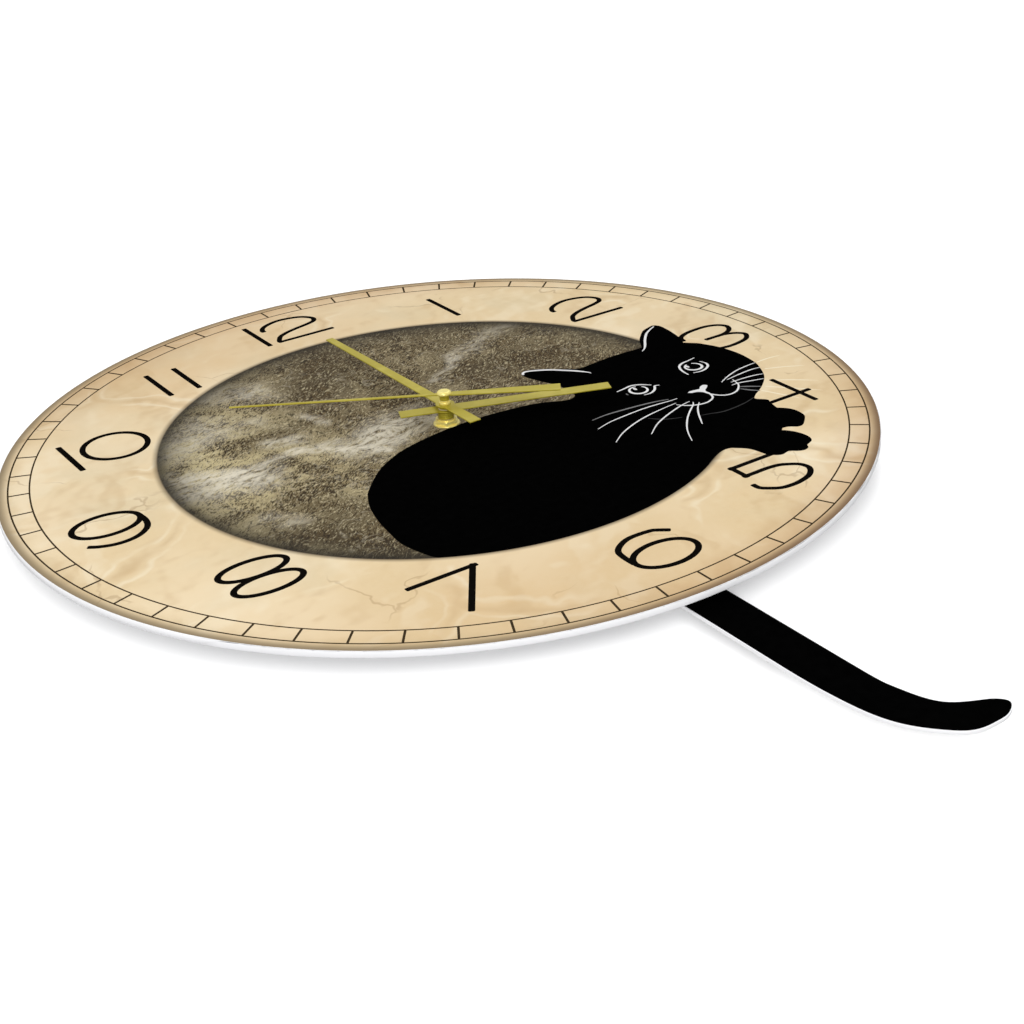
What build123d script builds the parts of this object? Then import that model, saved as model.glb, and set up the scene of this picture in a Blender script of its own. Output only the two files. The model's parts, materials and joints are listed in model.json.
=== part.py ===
from build123d import *
import os
from math import acos, cos, pi, radians, sin, tan

# Cat tail clock: a 300 mm wall clock with a quartz movement whose pendulum is the cat's tail.
#
# Everything is modelled in the clock's own view: x to the right and y up as seen from the front,
# z out of the wall towards the viewer, with the spindle axis at x = y = 0 and the wall at z = 0.
# hang() then turns it upright (+Z up, the face towards -Y) with the hanging hole at the origin.

# ---------------------------------------------------------------- driving dimensions, mm
DIAL_RADIUS = 150.0
DIAL_THICKNESS = 2.4

CASE_WIDTH = 56.0
CASE_TOP = 28.0
CASE_BOTTOM = -74.0
CASE_DEPTH = 17.0
CASE_CORNER = 3.0
WALL = 1.6
GASKET_THICKNESS = 1.6
HANGER_HEIGHT = 38.0
HANGER_HOLE = 3.5
HANGER_TAB = WALL

DIAL_BACK = CASE_DEPTH + GASKET_THICKNESS
DIAL_FACE = DIAL_BACK + DIAL_THICKNESS
FRONT_INSIDE = CASE_DEPTH - WALL
HALF_INSIDE = CASE_WIDTH / 2 - WALL

BUSH_RADIUS = 3.25
HOUR_PIPE = 2.40
MINUTE_PIPE = 1.66
SECOND_ARBOR = 0.74
PIPE_GAP = 0.06

# heights above the dial's face
BUSH_TOP = 2.3
HOUR_HAND_AT = 5.4
MINUTE_HAND_AT = 7.1
SECOND_HAND_AT = 10.8
CAP_TOP = 12.3
HAND_THICKNESS = 0.4

# where the hands stand, clockwise from twelve, in degrees
HOUR_BEARING = 111.2
MINUTE_BEARING = 359.3
SECOND_BEARING = 302.6

BATTERY_RADIUS = 7.1
BATTERY_AT = (0.0, -34.0, 7.8)
BAY_HALF_HEIGHT = 7.5
RIB = 1.0

PENDULUM_PIVOT = (0.0, -48.0)
PENDULUM_COIL = (0.0, -61.0)
PENDULUM_SWING = 8.0
ARM_BACK = 9.8
ARM_FRONT = 11.4
ARM_WIDTH = 6.0

TAIL_FRONT = 13.8
TAIL_THICKNESS = 1.0
TAIL_HALF_WIDTH = 7.9
TAIL_TOP = -86.0

PIVOT = 0.40
PIVOT_GAP = 0.06
PRESSURE_ANGLE = radians(20)


def polar(origin, distance, angle):
    return (origin[0] + distance * cos(radians(angle)), origin[1] + distance * sin(radians(angle)))


# ---------------------------------------------------------------- gear train
# (teeth, module) of each meshing pair; the centre distances follow from them.
ROTOR_PINION, FIFTH_WHEEL = (12, 0.25), (60, 0.25)
FIFTH_PINION, SECOND_WHEEL = (10, 0.30), (60, 0.30)
SECOND_PINION, THIRD_WHEEL = (8, 0.30), (60, 0.30)
THIRD_MODULE = 0.30 * (8 + 60) / (8 + 64)
THIRD_PINION, CENTRE_WHEEL = (8, THIRD_MODULE), (64, THIRD_MODULE)
MINUTE_PINION, MOTION_WHEEL = (12, 0.45), (36, 0.45)
HOUR_MODULE = 0.45 * (12 + 36) / (10 + 40)
MOTION_PINION, HOUR_WHEEL = (10, HOUR_MODULE), (40, HOUR_MODULE)
KNOB_PINION = (12, 0.45)


def spacing(a, b):
    return (a[0] * a[1] + b[0] * b[1]) / 2


# direction from one axis to the next, in degrees
SECOND_TO_FIFTH, FIFTH_TO_ROTOR = 200.0, 250.0
CENTRE_TO_THIRD, CENTRE_TO_MOTION, MOTION_TO_KNOB = 60.0, 150.0, 120.0

CENTRE = (0.0, 0.0)
FIFTH = polar(CENTRE, spacing(FIFTH_PINION, SECOND_WHEEL), SECOND_TO_FIFTH)
ROTOR = polar(FIFTH, spacing(ROTOR_PINION, FIFTH_WHEEL), FIFTH_TO_ROTOR)
THIRD = polar(CENTRE, spacing(SECOND_PINION, THIRD_WHEEL), CENTRE_TO_THIRD)
MOTION = polar(CENTRE, spacing(MINUTE_PINION, MOTION_WHEEL), CENTRE_TO_MOTION)
KNOB = polar(MOTION, spacing(KNOB_PINION, MOTION_WHEEL), MOTION_TO_KNOB)

# the layers of the movement, from the wall forwards: (back, front)
ROTOR_PINION_Z, FIFTH_WHEEL_Z = (4.5, 5.9), (4.8, 5.6)
FIFTH_PINION_Z, SECOND_WHEEL_Z = (6.6, 7.8), (6.8, 7.6)
PLATE_Z = (8.0, 8.8)
SECOND_PINION_Z, THIRD_WHEEL_Z = (9.0, 10.3), (9.2, 10.0)
THIRD_PINION_Z, CENTRE_WHEEL_Z = (10.8, 12.1), (11.1, 11.9)
MINUTE_PINION_Z, MOTION_WHEEL_Z = (12.0, 13.5), (12.4, 13.2)
MOTION_PINION_Z, HOUR_WHEEL_Z = (13.2, 15.1), (13.7, 14.7)
KNOB_Z = MINUTE_PINION_Z
MAGNET_Z = (6.1, 7.7)
STATOR_Z = (6.4, 7.2)
CORE_Z = (5.4, 6.4)
BOARD_Z = (2.6, 3.6)
BACK_BOSS = 4.2


# ---------------------------------------------------------------- building blocks
def disc(radius, back, front, at=(0, 0)):
    return Pos(at[0], at[1], back) * extrude(Circle(radius), front - back)


def ring(outer, inner, back, front, at=(0, 0)):
    return Pos(at[0], at[1], back) * extrude(Circle(outer) - Circle(inner), front - back)


def block(left, right, low, high, back, front, corner=0.0):
    width, height = right - left, high - low
    shape = RectangleRounded(width, height, corner) if corner else Rectangle(width, height)
    return Pos((left + right) / 2, (low + high) / 2, back) * extrude(shape, front - back)


def gear_face(gear, phase, addendum=0.85, dedendum=1.30, slack=0.16):
    """A spur gear's outline with involute flanks. slack is the share of the pitch left as backlash."""
    teeth, module = gear
    pitch_radius = teeth * module / 2
    base = pitch_radius * cos(PRESSURE_ANGLE)
    tip = pitch_radius + addendum * module
    root = pitch_radius - dedendum * module
    start = max(base, root)
    half_at_pitch = pi / teeth * (0.5 - slack / 2) + tan(PRESSURE_ANGLE) - PRESSURE_ANGLE

    def half_angle(radius):
        roll = acos(min(1.0, base / radius))
        return half_at_pitch - (tan(roll) - roll)

    flank = [(start + (tip - start) * i / 3) for i in range(4)]
    points = []
    for k in range(teeth):
        middle = radians(phase) + 2 * pi * k / teeth
        side = [(root, half_angle(start))] * (root < start) + [(r, half_angle(r)) for r in flank]
        for radius, half in side:
            points.append((radius * cos(middle - half), radius * sin(middle - half)))
        for radius, half in reversed(side):
            points.append((radius * cos(middle + half), radius * sin(middle + half)))
    return make_face(Polyline(points, close=True))


def gear(size, layer, at, phase, bore=0.0):
    face = gear_face(size, phase)
    if bore:
        face -= Circle(bore)
    return Pos(at[0], at[1], layer[0]) * extrude(face, layer[1] - layer[0])


def in_mesh(driver, driver_phase, direction, driven):
    """The driven gear's phase that puts a gap of it where the driver has a tooth."""
    pitch, other = 360 / driver[0], 360 / driven[0]
    return direction + 180 - other * (0.5 - (direction - driver_phase) / pitch)


def spoked(size, layer, at, phase, bore, hub, rim, spokes=4, spoke_width=1.2):
    """A crossed-out wheel: a toothed rim, a hub and spokes between them."""
    wheel = gear(size, layer, at, phase, bore)
    window = ring(rim, hub, layer[0] - 1, layer[1] + 1, at)
    for k in range(spokes // 2):
        bar = Rot(0, 0, 180 * k * 2 / spokes) * Box(3 * rim, spoke_width, 20)
        window -= Pos(at[0], at[1], layer[0]) * bar
    return wheel - window


# phases, all from the second wheel outwards
SECOND_PHASE = 0.0
FIFTH_PINION_PHASE = in_mesh(SECOND_WHEEL, SECOND_PHASE, SECOND_TO_FIFTH, FIFTH_PINION)
FIFTH_WHEEL_PHASE = 0.0
ROTOR_PHASE = in_mesh(FIFTH_WHEEL, FIFTH_WHEEL_PHASE, FIFTH_TO_ROTOR, ROTOR_PINION)
THIRD_WHEEL_PHASE = in_mesh(SECOND_PINION, SECOND_PHASE, CENTRE_TO_THIRD, THIRD_WHEEL)
THIRD_PINION_PHASE = 0.0
CENTRE_PHASE = in_mesh(THIRD_PINION, THIRD_PINION_PHASE, CENTRE_TO_THIRD + 180, CENTRE_WHEEL)
MINUTE_PHASE = 0.0
MOTION_WHEEL_PHASE = in_mesh(MINUTE_PINION, MINUTE_PHASE, CENTRE_TO_MOTION, MOTION_WHEEL)
MOTION_PINION_PHASE = 0.0
HOUR_PHASE = in_mesh(MOTION_PINION, MOTION_PINION_PHASE, CENTRE_TO_MOTION + 180, HOUR_WHEEL)
KNOB_PHASE = in_mesh(MOTION_WHEEL, MOTION_WHEEL_PHASE, MOTION_TO_KNOB, KNOB_PINION)

# ---------------------------------------------------------------- dial and its fixings
BAY_TOP = BATTERY_AT[1] + BAY_HALF_HEIGHT
BAY_BOTTOM = BATTERY_AT[1] - BAY_HALF_HEIGHT
SCREW_POSTS = [(-22.5, -4.0), (-22.5, 19.0), (15.5, 19.0), (15.5, -5.0)]
SNAP_HEIGHTS = (14.0, -14.0, -62.0)
LEAD_HALF_WIDTH = 2.0
LEAD_AT = 20.0


def dial_board():
    board = disc(DIAL_RADIUS, DIAL_BACK, DIAL_FACE)
    board = chamfer(board.edges().filter_by(GeomType.CIRCLE).group_by(SortBy.RADIUS)[-1], 0.25)
    return board - disc(BUSH_RADIUS + 0.15, DIAL_BACK - 1, DIAL_FACE + 1)


def rubber_gasket():
    return ring(9.0, BUSH_RADIUS + 0.1, CASE_DEPTH, DIAL_BACK)


def washer():
    return ring(4.6, BUSH_RADIUS + 0.1, DIAL_FACE, DIAL_FACE + 0.5)


def hex_nut():
    back, front = DIAL_FACE + 0.5, DIAL_FACE + 1.9
    nut = Pos(0, 0, back) * extrude(RegularPolygon(3.75, 6, major_radius=False), front - back)
    top_bevel = Pos(0, 0, front - 0.4) * extrude(Circle(4.4), 0.4, taper=40)
    nut = nut & (disc(6, back, front - 0.4) + top_bevel)
    return nut - disc(BUSH_RADIUS, back - 1, front + 1)


def spindle_bush():
    """The threaded neck that clamps the dial: its flange sits inside the case's front wall."""
    top = DIAL_FACE + BUSH_TOP
    bush = disc(6.4, FRONT_INSIDE, FRONT_INSIDE + 0.8) + disc(BUSH_RADIUS, FRONT_INSIDE, top)
    bush -= ring(BUSH_RADIUS + 1, BUSH_RADIUS - 0.12, top - 0.25, top - 0.13)
    return bush - disc(HOUR_PIPE + 0.07, FRONT_INSIDE - 1, top + 1)


# ---------------------------------------------------------------- movement case
def case_outline(back, front):
    half = CASE_WIDTH / 2
    return block(-half, half, CASE_BOTTOM, CASE_TOP, back, front, CASE_CORNER)


def case_front():
    """The front shell: one wall towards the dial, four sides and two ribs beside the battery."""
    case = case_outline(WALL, CASE_DEPTH)
    rooms = [
        (BAY_TOP + RIB, CASE_TOP - WALL),
        (BAY_BOTTOM, BAY_TOP),
        (CASE_BOTTOM + WALL, BAY_BOTTOM - RIB),
    ]
    for low, high in rooms:
        case -= block(-HALF_INSIDE, HALF_INSIDE, low, high, 0, FRONT_INSIDE)
    for at in SCREW_POSTS:
        case += ring(1.8, 0.7, PLATE_Z[1], FRONT_INSIDE, at)
    case -= disc(BUSH_RADIUS + 0.05, 0, CASE_DEPTH + 1)
    case -= disc(6.45, FRONT_INSIDE - 0.1, FRONT_INSIDE + 0.8)
    case -= disc(PIVOT + PIVOT_GAP, FRONT_INSIDE - 0.1, FRONT_INSIDE + 0.8, THIRD)
    case -= disc(0.86, FRONT_INSIDE - 0.1, FRONT_INSIDE + 0.9, KNOB)
    case -= disc(0.8, FRONT_INSIDE - 0.1, FRONT_INSIDE + 1.0, PENDULUM_PIVOT)
    reach = PENDULUM_PIVOT[1] - CASE_BOTTOM
    half_slot = ARM_WIDTH / 2 + reach * tan(radians(PENDULUM_SWING)) + 1.0
    case -= block(-half_slot, half_slot, CASE_BOTTOM - 1, CASE_BOTTOM + WALL + 1, 8.6, 12.8)
    for rib in (BAY_TOP, BAY_BOTTOM - RIB):
        left, right = LEAD_AT - LEAD_HALF_WIDTH - 0.2, LEAD_AT + LEAD_HALF_WIDTH + 0.2
        case -= block(left, right, rib - 0.1, rib + RIB + 0.1, FRONT_INSIDE - 0.5, FRONT_INSIDE)
    case -= block(HALF_INSIDE - 0.6, HALF_INSIDE, BAY_TOP - 0.1, BAY_TOP + RIB + 0.1, 0, 6.2)
    case -= block(-HALF_INSIDE, 0.6 - HALF_INSIDE, BAY_TOP - 0.1, BAY_TOP + RIB + 0.1, 0, 6.2)
    for side in (-1, 1):
        for y in SNAP_HEIGHTS:
            lug = Pos(side * (CASE_WIDTH / 2 + 0.35), y, 5.0) * Box(0.7, 3.4, 1.6)
            case += lug
    return case


def case_back():
    """The rear cover: hanger tab, knob pocket, battery opening, pivot bosses and snap loops."""
    cover = case_outline(0, WALL)
    tab_top = HANGER_HEIGHT + 7.0
    tab = block(-9, 9, CASE_TOP - 3, tab_top, 0, HANGER_TAB, 6.5)
    cover += tab
    cover += disc(7.2, 0, 4.6, KNOB)
    for at, radius in ((CENTRE, 2.0), (FIFTH, 1.6), (ROTOR, 1.4)):
        cover += disc(radius, WALL - 0.5, BACK_BOSS, at)
    cover += disc(2.0, WALL - 0.5, 3.4, PENDULUM_PIVOT)
    for side in (-1, 1):
        for y in SNAP_HEIGHTS:
            inner, outer = CASE_WIDTH / 2 - 0.6, CASE_WIDTH / 2 + 1.0
            left, right = sorted((side * inner, side * outer))
            loop = block(left, right, y - 3.2, y + 3.2, 0, WALL)
            wall_left, wall_right = sorted((side * (CASE_WIDTH / 2 + 0.05), side * outer))
            loop += block(wall_left, wall_right, y - 3.2, y + 3.2, 0, 7.4)
            loop -= block(wall_left - 1, wall_right + 1, y - 1.9, y + 1.9, 4.0, 6.0)
            cover += loop
    cover -= disc(HANGER_HOLE, -1, 5, (0, HANGER_HEIGHT))
    cover -= disc(6.2, -1, 3.6, KNOB)
    cover -= disc(1.46, 3, 5, KNOB)
    cover -= block(-26.0, 26.0, BAY_BOTTOM + 0.2, BAY_TOP - 0.2, -1, 5)
    cover -= disc(SECOND_ARBOR + PIVOT_GAP, 2.4, 5, CENTRE)
    for at in (FIFTH, ROTOR):
        cover -= disc(PIVOT + PIVOT_GAP, 2.4, 5, at)
    cover -= disc(0.8, 2.4, 5, PENDULUM_PIVOT)
    return cover


def gear_plate():
    """The middle plate that holds the arbors' front pivots and the motion wheel's post."""
    plate = block(-24.8, 18.0, -14.4, 22.0, PLATE_Z[0], PLATE_Z[1], 2.0)
    plate -= block(-24.8, -19.5, 1.0, 13.0, 0, 20, 1.5)
    plate -= disc(SECOND_ARBOR + PIVOT_GAP, 0, 20)
    plate -= disc(PIVOT + PIVOT_GAP, 0, 20, FIFTH)
    plate -= disc(PIVOT + PIVOT_GAP, 0, 20, ROTOR)
    plate -= disc(PIVOT + PIVOT_GAP, 0, 20, THIRD)
    plate -= disc(1.46, 0, 20, KNOB)
    for at in SCREW_POSTS:
        plate -= disc(0.8, 0, 20, at)
    plate += disc(1.2, PLATE_Z[1], MOTION_WHEEL_Z[0] - 0.2, MOTION)
    plate += disc(1.0, PLATE_Z[1], FRONT_INSIDE - 0.1, MOTION)
    return plate


def plate_screws():
    """Four pan-head screws that hold the gear plate to the front shell's posts."""
    head_back = PLATE_Z[0] - 1.0
    screws = []
    for at in SCREW_POSTS:
        screw = disc(1.5, head_back, PLATE_Z[0], at) + disc(0.7, PLATE_Z[0], 13.0, at)
        slot = Pos(at[0], at[1], head_back) * Box(2.4, 0.4, 0.8)
        screws.append(screw - slot)
    return screws


# ---------------------------------------------------------------- stepping motor
COIL_AT = -21.4


def coil_core():
    return block(-21, 21, COIL_AT - 1.5, COIL_AT + 1.5, CORE_Z[0], CORE_Z[1])


def stator():
    """A magnetic frame: its top bar holds the rotor, its two legs end on the coil's core."""
    plate = block(-21, 21, -14.2, -9.9, STATOR_Z[0], STATOR_Z[1])
    for left in (-21, 16):
        plate += block(left, left + 5, COIL_AT - 2, -10.2, STATOR_Z[0], STATOR_Z[1])
    plate += disc(4.8, STATOR_Z[0], STATOR_Z[1], ROTOR)
    plate -= disc(3.5, 0, 20, ROTOR)
    for x in (-18.5, 18.5):
        plate -= disc(0.75, 0, 20, (x, COIL_AT))
    return plate


def stator_screws():
    screws = []
    for x in (-18.5, 18.5):
        at = (x, COIL_AT)
        screw = disc(1.4, STATOR_Z[1], STATOR_Z[1] + 0.9, at) + disc(0.75, CORE_Z[1], STATOR_Z[1], at)
        screws.append(screw - Pos(x, COIL_AT, STATOR_Z[1] + 0.9) * Box(2.2, 0.4, 0.8))
    return screws


def lying_tube(outer, inner, left, right, depth, height):
    """A tube along x, centred on a depth above the wall and a height on the face."""
    shape = Circle(outer) - Circle(inner) if inner else Circle(outer)
    return Pos(left, height, depth) * Rot(0, 90, 0) * extrude(shape, right - left)


def coil_bobbin():
    """The motor coil's former: a square tube round the core with a flange at each end."""
    depth = (CORE_Z[0] + CORE_Z[1]) / 2
    bobbin = lying_tube(2.3, 0, -14, 14, depth, COIL_AT)
    for left in (-14, 13):
        bobbin += lying_tube(3.9, 0, left, left + 1, depth, COIL_AT)
    return bobbin - block(-15, 15, COIL_AT - 1.55, COIL_AT + 1.55, CORE_Z[0] - 0.05, CORE_Z[1] + 0.05)


def coil_winding():
    depth = (CORE_Z[0] + CORE_Z[1]) / 2
    return lying_tube(3.4, 2.3, -13, 13, depth, COIL_AT)


def rotor_magnet():
    return ring(3.0, 1.2, *MAGNET_Z, at=ROTOR)


def rotor_pinion():
    pinion = gear(ROTOR_PINION, ROTOR_PINION_Z, ROTOR, ROTOR_PHASE)
    pinion += disc(1.2, ROTOR_PINION_Z[1], MAGNET_Z[1], ROTOR)
    return pinion + disc(PIVOT, 2.6, 8.6, ROTOR)


# ---------------------------------------------------------------- circuit and battery
def circuit_board():
    board = block(8, HALF_INSIDE - 0.45, -12, 16, *BOARD_Z)
    return board - block(7, 11, -13, -9, 0, 10)


def driver_chip():
    """The clock circuit under its round drop of resin."""
    blob = Pos(16, 1, BOARD_Z[1]) * extrude(Circle(3.4), 1.1, taper=35)
    return blob


def quartz_crystal():
    """A small tuning-fork crystal in a round can lying on the circuit board."""
    can = Pos(13, 8.0, BOARD_Z[1] + 1.05) * Rot(90, 0, 0) * Cylinder(1.05, 6.2)
    legs = [Pos(13 + dx, 4.4, BOARD_Z[1] + 0.4) * Box(0.3, 1.0, 0.8) for dx in (-0.4, 0.4)]
    return can + legs[0] + legs[1]


def contact_plate():
    """The flat positive contact with the strip that leads to the circuit board."""
    left, right = HALF_INSIDE - 0.45, HALF_INSIDE - 0.05
    plate = block(left, right, BATTERY_AT[1] - 5, BATTERY_AT[1] + 7, 3.0, 12.5)
    return plate + block(left, right, BATTERY_AT[1] + 4, -6, BOARD_Z[0], 5.6)


def contact_spring():
    """The negative contact: a plate with a bowed leaf that presses on the cell."""
    left, right = 0.05 - HALF_INSIDE, 0.45 - HALF_INSIDE
    plate = block(left, right, BATTERY_AT[1] - 5, BATTERY_AT[1] + 7, 3.0, 12.5)
    low, high, bow = BATTERY_AT[1] - 4.5, BATTERY_AT[1] + 4.5, -24.65
    outside = ThreePointArc((right, low), (bow, BATTERY_AT[1]), (right, high))
    inside = ThreePointArc((right, high - 0.6), (bow - 0.3, BATTERY_AT[1]), (right, low + 0.6))
    edges = [outside, Line((right, high), (right, high - 0.6)), inside]
    edges.append(Line((right, low + 0.6), (right, low)))
    leaf = Pos(0, 0, BATTERY_AT[2] - 2.5) * extrude(make_face(Wire(edges)), 5.0)
    return plate + leaf


def battery():
    """An AA cell, its positive button to the right."""
    depth, height = BATTERY_AT[2], BATTERY_AT[1]
    cell = lying_tube(BATTERY_RADIUS, 0, -24.6, 24.8, depth, height)
    cell = chamfer(cell.edges().filter_by(GeomType.CIRCLE), 0.4)
    return cell + lying_tube(2.7, 0, 24.8, HALF_INSIDE - 0.5, depth, height)


def pendulum_lead():
    """The flat lead on the front wall from the clock circuit down to the pendulum's coil."""
    left, right = LEAD_AT - LEAD_HALF_WIDTH, LEAD_AT + LEAD_HALF_WIDTH
    return block(left, right, -56, -16, FRONT_INSIDE - 0.3, FRONT_INSIDE)


# ---------------------------------------------------------------- wheels, pipes and hands
def fifth_wheel():
    return spoked(FIFTH_WHEEL, FIFTH_WHEEL_Z, FIFTH, FIFTH_WHEEL_PHASE, 0.9, 2.2, 6.2)


def fifth_pinion():
    pinion = gear(FIFTH_PINION, FIFTH_PINION_Z, FIFTH, FIFTH_PINION_PHASE)
    pinion += disc(0.9, FIFTH_WHEEL_Z[0] - 0.3, FIFTH_PINION_Z[0], FIFTH)
    return pinion + disc(PIVOT, 2.6, 8.6, FIFTH)


def second_wheel():
    return spoked(SECOND_WHEEL, SECOND_WHEEL_Z, CENTRE, SECOND_PHASE, 1.0, 2.4, 7.4)


def second_arbor():
    """The long arbor through both pipes: the second wheel behind, the second hand in front."""
    arbor = disc(SECOND_ARBOR, 2.6, DIAL_FACE + CAP_TOP - 0.6)
    arbor += disc(1.0, SECOND_WHEEL_Z[0] - 0.3, SECOND_WHEEL_Z[1] + 0.2)
    return arbor + gear(SECOND_PINION, SECOND_PINION_Z, CENTRE, SECOND_PHASE)


def third_wheel():
    return spoked(THIRD_WHEEL, THIRD_WHEEL_Z, THIRD, THIRD_WHEEL_PHASE, 0.8, 2.2, 7.4)


def third_pinion():
    pinion = gear(THIRD_PINION, THIRD_PINION_Z, THIRD, THIRD_PINION_PHASE)
    pinion += disc(0.8, THIRD_WHEEL_Z[0] - 0.2, THIRD_PINION_Z[0], THIRD)
    return pinion + disc(PIVOT, PLATE_Z[0] + 0.1, FRONT_INSIDE + 0.7, THIRD)


def centre_wheel():
    return spoked(CENTRE_WHEEL, CENTRE_WHEEL_Z, CENTRE, CENTRE_PHASE, MINUTE_PIPE, 3.0, 7.5)


def minute_pipe():
    top = DIAL_FACE + MINUTE_HAND_AT + 1.9
    pipe = disc(MINUTE_PIPE, CENTRE_WHEEL_Z[0], top)
    pipe += gear(MINUTE_PINION, MINUTE_PINION_Z, CENTRE, MINUTE_PHASE)
    return pipe - disc(SECOND_ARBOR + PIPE_GAP, 0, top + 1)


def motion_wheel():
    wheel = spoked(MOTION_WHEEL, MOTION_WHEEL_Z, MOTION, MOTION_WHEEL_PHASE, 0, 2.8, 6.4)
    wheel += gear(MOTION_PINION, MOTION_PINION_Z, MOTION, MOTION_PINION_PHASE)
    return wheel - disc(1.0 + PIPE_GAP, 0, 20, MOTION)


def hour_wheel():
    top = DIAL_FACE + HOUR_HAND_AT + HAND_THICKNESS + 0.1
    wheel = spoked(HOUR_WHEEL, HOUR_WHEEL_Z, CENTRE, HOUR_PHASE, 0, 3.4, 6.9)
    wheel += disc(HOUR_PIPE, HOUR_WHEEL_Z[1], top)
    return wheel - disc(MINUTE_PIPE + PIPE_GAP, 0, top + 1)


def blade(tip, tail, tip_width, hub_width, tail_width, back, bearing):
    """A flat baton along a bearing, tapering from the hub to each squared end."""
    outline = [
        (tip, tip_width / 2),
        (0, hub_width / 2),
        (-tail, tail_width / 2),
        (-tail, -tail_width / 2),
        (0, -hub_width / 2),
        (tip, -tip_width / 2),
    ]
    face = make_face(Polyline(outline, close=True))
    return Pos(0, 0, back) * Rot(0, 0, 90 - bearing) * extrude(face, HAND_THICKNESS)


def hour_hand():
    back = DIAL_FACE + HOUR_HAND_AT
    hand = blade(59.0, 16.0, 5.2, 5.5, 5.5, back, HOUR_BEARING)
    hand += disc(3.8, back, back + HAND_THICKNESS) + disc(2.8, DIAL_FACE + BUSH_TOP + 0.2, back)
    for z in (back - 2.2, back - 1.5, back - 0.8):
        hand -= ring(3.2, 2.65, z, z + 0.2)
    return hand - disc(HOUR_PIPE, 0, 60)


def minute_hand():
    back = DIAL_FACE + MINUTE_HAND_AT
    hand = blade(83.1, 19.5, 2.8, 4.1, 4.3, back, MINUTE_BEARING)
    hand += disc(3.3, back, back + HAND_THICKNESS) + disc(2.25, back - 1.0, back)
    return hand - disc(MINUTE_PIPE, 0, 60)


def minute_nut():
    """The small round nut that holds the minute hand on its pipe."""
    back = DIAL_FACE + MINUTE_HAND_AT + HAND_THICKNESS
    return ring(2.05, MINUTE_PIPE, back, back + 1.0)


def second_hand():
    back = DIAL_FACE + SECOND_HAND_AT
    needle = [(73.5, 0.4), (0, 0.8), (-3, 1.5), (-40.3, 2.75)]
    outline = needle + [(x, -y) for x, y in reversed(needle)]
    face = make_face(Polyline(outline, close=True))
    hand = Pos(0, 0, back) * Rot(0, 0, 90 - SECOND_BEARING) * extrude(face, HAND_THICKNESS)
    hand += disc(2.3, back, back + HAND_THICKNESS) + disc(1.7, back - 1.7, back)
    return hand - disc(SECOND_ARBOR, 0, 60)


def second_hand_cap():
    back, front = DIAL_FACE + SECOND_HAND_AT + HAND_THICKNESS, DIAL_FACE + CAP_TOP
    cap = fillet(disc(2.55, back, front).edges().group_by(Axis.Z)[-1], 0.9)
    return cap - disc(SECOND_ARBOR, 0, DIAL_FACE + CAP_TOP - 0.6)


def set_knob():
    """The hand-setting knob in its pocket, on the shaft that turns the motion wheel."""
    knob = disc(5.2, 0.4, 3.3, KNOB)
    for k in range(16):
        at = polar(KNOB, 5.35, 360 * k / 16)
        knob -= disc(0.45, 0, 3.3 + 1, at)
    knob -= Pos(KNOB[0], KNOB[1], 0.4) * Box(6.0, 0.9, 1.0)
    knob += disc(1.4, 3.3, KNOB_Z[1] + 0.5, KNOB) + disc(0.8, KNOB_Z[1], FRONT_INSIDE + 0.7, KNOB)
    return knob + gear(KNOB_PINION, KNOB_Z, KNOB, KNOB_PHASE)


# ---------------------------------------------------------------- pendulum and tail
def pendulum_pivot_pin():
    return disc(0.8, 2.4, FRONT_INSIDE + 1.0, PENDULUM_PIVOT)


def pendulum_bobbin():
    bobbin = ring(2.8, 1.8, 1.6, 8.6, PENDULUM_COIL)
    for back in (2.6, 7.8):
        bobbin += ring(9.0, 1.8, back, back + 0.8, PENDULUM_COIL)
    return bobbin


def pendulum_winding():
    return ring(8.2, 2.8, 3.4, 7.8, PENDULUM_COIL)


def pendulum_arm():
    """The flat arm: hub on the pivot, ring for the magnet, and a tongue that carries the tail."""
    arm = disc(2.6, 9.0, 12.6, PENDULUM_PIVOT)
    arm += block(-ARM_WIDTH / 2, ARM_WIDTH / 2, -92, PENDULUM_PIVOT[1], ARM_BACK, ARM_FRONT)
    arm += block(-2.0, 2.0, -102, -91, ARM_BACK, ARM_FRONT)
    arm += disc(6.6, 9.4, 11.8, PENDULUM_COIL)
    arm -= disc(5.0, 0, 20, PENDULUM_COIL)
    return arm - disc(0.86, 0, 20, PENDULUM_PIVOT)


def pendulum_magnet():
    return disc(5.0, 9.4, 11.8, PENDULUM_COIL)


def tail_clip():
    """The socket glued to the tail's back, which slides onto the arm's tongue."""
    clip = block(-5.0, 5.0, -104.5, -92.5, 9.0, TAIL_FRONT - TAIL_THICKNESS, 1.2)
    return clip - block(-2.05, 2.05, -103, -90, ARM_BACK - 0.05, ARM_FRONT + 0.05)


def tail_board():
    """The flat tail: straight, then curling to the right into a rounded tip."""
    half, bend_left, bend_right = TAIL_HALF_WIDTH, -186.0, -196.0
    bottom, curl_top = (15.5, -240.2), (20.0, -229.5)
    outer = [(-half, bend_left), (-6.8, -208), (-2.5, -225.4), (5.0, -235.6), bottom]
    tip = [bottom, (23.6, -238.9), (26.7, -235.6), (24.6, -232.2), curl_top]
    inner = [curl_top, (12.9, -224.0), (9.0, -212.5), (half, bend_right)]
    edges = [
        Line((-half, TAIL_TOP - half), (-half, bend_left)),
        Spline(outer, tangents=[(0, -1), (1, 0)]),
        Spline(tip, tangents=[(1, 0), (-1, 0.55)]),
        Spline(inner, tangents=[(-1, 0.55), (0, 1)]),
        Line((half, bend_right), (half, TAIL_TOP - half)),
        ThreePointArc((half, TAIL_TOP - half), (0, TAIL_TOP), (-half, TAIL_TOP - half)),
    ]
    face = make_face(Wire(edges))
    return Pos(0, 0, TAIL_FRONT - TAIL_THICKNESS) * extrude(face, TAIL_THICKNESS)


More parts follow.
